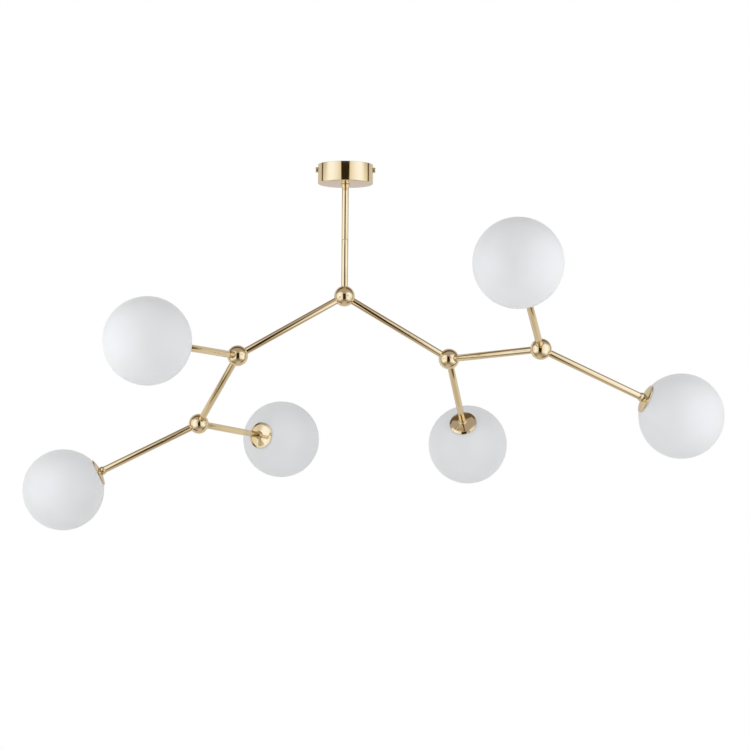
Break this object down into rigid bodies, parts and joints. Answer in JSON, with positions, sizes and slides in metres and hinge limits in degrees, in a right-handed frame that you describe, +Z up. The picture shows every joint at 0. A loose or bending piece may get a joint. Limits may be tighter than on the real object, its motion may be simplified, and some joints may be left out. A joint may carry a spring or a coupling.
{
  "type": "multi arm chandelier",
  "caption": "Ceiling chandelier with straight brass-coloured tubes that branch at drilled balls and end in opal glass globes, hung from a small round cup.",
  "frame": {"origin": "centre of the fixture's ceiling face, on the axis of the down rod", "axes": "+Z up into the ceiling, +X towards the outer right globe and along the longest side, +Y towards the two back globes"},
  "size_m": [1.0119, 0.7254, 0.5335],
  "materials": {
    "polished_brass": "polished",
    "opal_glass": "satin",
    "ceramic": "satin",
    "bulb_glass": "gloss",
    "zinc_plate": "satin",
    "nylon": "matte",
    "lead_insulation": "matte"
  },
  "bodies": {
    "root": {"ceiling_bracket": "zinc_plate", "canopy_cup": "polished_brass", "terminal_block": "nylon", "canopy_screw_left": "polished_brass", "canopy_screw_right": "polished_brass"},
    "drop_frame": {"canopy_lock_nut": "zinc_plate", "canopy_collar": "polished_brass", "down_rod_upper": "polished_brass", "down_rod_lower": "polished_brass", "down_rod_joiner": "zinc_plate", "lead_down_rod": "lead_insulation", "ball_centre": "polished_brass", "arm_left_inner": "polished_brass", "lead_arm_left_inner": "lead_insulation", "arm_right_inner": "polished_brass", "lead_arm_right_inner": "lead_insulation"},
    "left_inner": {"ball_left_inner": "polished_brass", "arm_left_outer": "polished_brass", "lead_arm_left_outer": "lead_insulation", "stem_left_front": "polished_brass", "collar_left_front": "polished_brass", "cap_left_front": "polished_brass", "lampholder_left_front": "ceramic"},
    "left_outer": {"ball_left_outer": "polished_brass", "stem_left_outer": "polished_brass", "collar_left_outer": "polished_brass", "cap_left_outer": "polished_brass", "lampholder_left_outer": "ceramic", "stem_left_back": "polished_brass", "collar_left_back": "polished_brass", "cap_left_back": "polished_brass", "lampholder_left_back": "ceramic"},
    "right_inner": {"ball_right_inner": "polished_brass", "arm_right_outer": "polished_brass", "lead_arm_right_outer": "lead_insulation", "stem_right_back": "polished_brass", "collar_right_back": "polished_brass", "cap_right_back": "polished_brass", "lampholder_right_back": "ceramic"},
    "right_outer": {"ball_right_outer": "polished_brass", "stem_right_front": "polished_brass", "collar_right_front": "polished_brass", "cap_right_front": "polished_brass", "lampholder_right_front": "ceramic", "stem_right_outer": "polished_brass", "collar_right_outer": "polished_brass", "cap_right_outer": "polished_brass", "lampholder_right_outer": "ceramic"},
    "globe_left_front": {"globe_left_front": "opal_glass"},
    "globe_left_outer": {"globe_left_outer": "opal_glass"},
    "globe_left_back": {"globe_left_back": "opal_glass"},
    "globe_right_back": {"globe_right_back": "opal_glass"},
    "globe_right_front": {"globe_right_front": "opal_glass"},
    "globe_right_outer": {"globe_right_outer": "opal_glass"},
    "bulb_left_front": {"bulb_left_front": "bulb_glass"},
    "bulb_left_outer": {"bulb_left_outer": "bulb_glass"},
    "bulb_left_back": {"bulb_left_back": "bulb_glass"},
    "bulb_right_back": {"bulb_right_back": "bulb_glass"},
    "bulb_right_front": {"bulb_right_front": "bulb_glass"},
    "bulb_right_outer": {"bulb_right_outer": "bulb_glass"}
  },
  "joints": [
    {"name": "fixture_swivel", "type": "hinge", "parent": "root", "child": "drop_frame", "pos_m": [0, 0, 0], "axis": [0, 0, 1], "range_deg": [-175, 175]},
    {"name": "left_inner_swivel", "type": "hinge", "parent": "drop_frame", "child": "left_inner", "pos_m": [-0.15228, -0.01964, -0.27965], "axis": [-0.8589, -0.1108, -0.5], "range_deg": [-30, 45]},
    {"name": "left_outer_swivel", "type": "hinge", "parent": "left_inner", "child": "left_outer", "pos_m": [-0.21825, 0.11549, -0.37357], "axis": [-0.3721, 0.7622, -0.5297], "range_deg": [-45, 45]},
    {"name": "right_inner_swivel", "type": "hinge", "parent": "drop_frame", "child": "right_inner", "pos_m": [0.15228, 0.01964, -0.27965], "axis": [0.8589, 0.1108, -0.5], "range_deg": [-5, 45]},
    {"name": "right_outer_swivel", "type": "hinge", "parent": "right_inner", "child": "right_outer", "pos_m": [0.27582, -0.10735, -0.27287], "axis": [0.6968, -0.7163, 0.0382], "range_deg": [-15, 45]},
    {"name": "globe_left_front_lift_off", "type": "slide", "parent": "left_inner", "child": "globe_left_front", "axis": [-0.4868, -0.873, 0.0297], "range_m": [0, 0.06]},
    {"name": "globe_left_outer_lift_off", "type": "slide", "parent": "left_outer", "child": "globe_left_outer", "axis": [-0.8886, -0.0903, -0.4496], "range_m": [0, 0.06]},
    {"name": "globe_left_back_lift_off", "type": "slide", "parent": "left_outer", "child": "globe_left_back", "axis": [0.5166, 0.8525, -0.0801], "range_m": [0, 0.06]},
    {"name": "globe_right_back_lift_off", "type": "slide", "parent": "right_inner", "child": "globe_right_back", "axis": [0.1621, 0.8271, -0.5382], "range_m": [0, 0.06]},
    {"name": "globe_right_front_lift_off", "type": "slide", "parent": "right_outer", "child": "globe_right_front", "axis": [-0.2035, -0.8723, 0.4447], "range_m": [0, 0.06]},
    {"name": "globe_right_outer_lift_off", "type": "slide", "parent": "right_outer", "child": "globe_right_outer", "axis": [0.9002, 0.156, -0.4065], "range_m": [0, 0.06]},
    {"name": "bulb_left_front_pull_out", "type": "slide", "parent": "left_inner", "child": "bulb_left_front", "axis": [-0.4868, -0.873, 0.0297], "range_m": [0, 0.012]},
    {"name": "bulb_left_outer_pull_out", "type": "slide", "parent": "left_outer", "child": "bulb_left_outer", "axis": [-0.8886, -0.0903, -0.4496], "range_m": [0, 0.012]},
    {"name": "bulb_left_back_pull_out", "type": "slide", "parent": "left_outer", "child": "bulb_left_back", "axis": [0.5166, 0.8525, -0.0801], "range_m": [0, 0.012]},
    {"name": "bulb_right_back_pull_out", "type": "slide", "parent": "right_inner", "child": "bulb_right_back", "axis": [0.1621, 0.8271, -0.5382], "range_m": [0, 0.012]},
    {"name": "bulb_right_front_pull_out", "type": "slide", "parent": "right_outer", "child": "bulb_right_front", "axis": [-0.2035, -0.8723, 0.4447], "range_m": [0, 0.012]},
    {"name": "bulb_right_outer_pull_out", "type": "slide", "parent": "right_outer", "child": "bulb_right_outer", "axis": [0.9002, 0.156, -0.4065], "range_m": [0, 0.012]}
  ]
}
